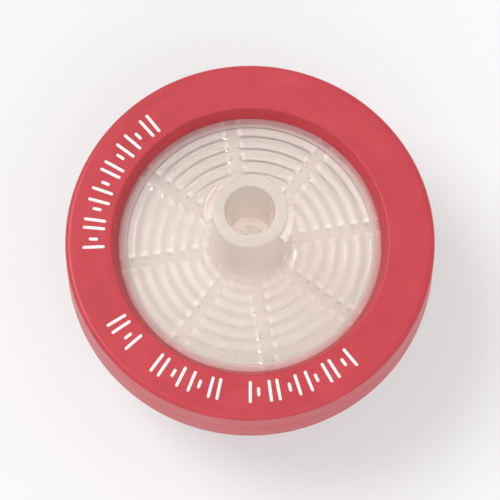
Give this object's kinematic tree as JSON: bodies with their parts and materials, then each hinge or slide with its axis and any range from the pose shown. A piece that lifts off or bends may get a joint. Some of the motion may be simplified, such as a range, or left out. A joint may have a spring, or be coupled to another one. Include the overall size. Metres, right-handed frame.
{
  "type": "syringe filter",
  "caption": "Disc syringe filter: red over-moulded ring round two translucent housings with a membrane between, luer lock inlet and luer slip outlet.",
  "frame": {"origin": "centre of the outlet tip's end face, the lowest point of the part", "axes": "+Z along the flow axis from the outlet up to the inlet; +X through the middle of one luer lock lug"},
  "size_m": [0.032, 0.032, 0.024],
  "materials": {
    "natural_polypropylene": "satin",
    "red_polypropylene": "satin",
    "ptfe_membrane": "matte",
    "white_ink": "matte"
  },
  "bodies": {
    "root": {"inlet_housing": "natural_polypropylene", "outlet_housing": "natural_polypropylene", "membrane": "ptfe_membrane", "overmould_ring": "red_polypropylene"}
  },
  "joints": []
}
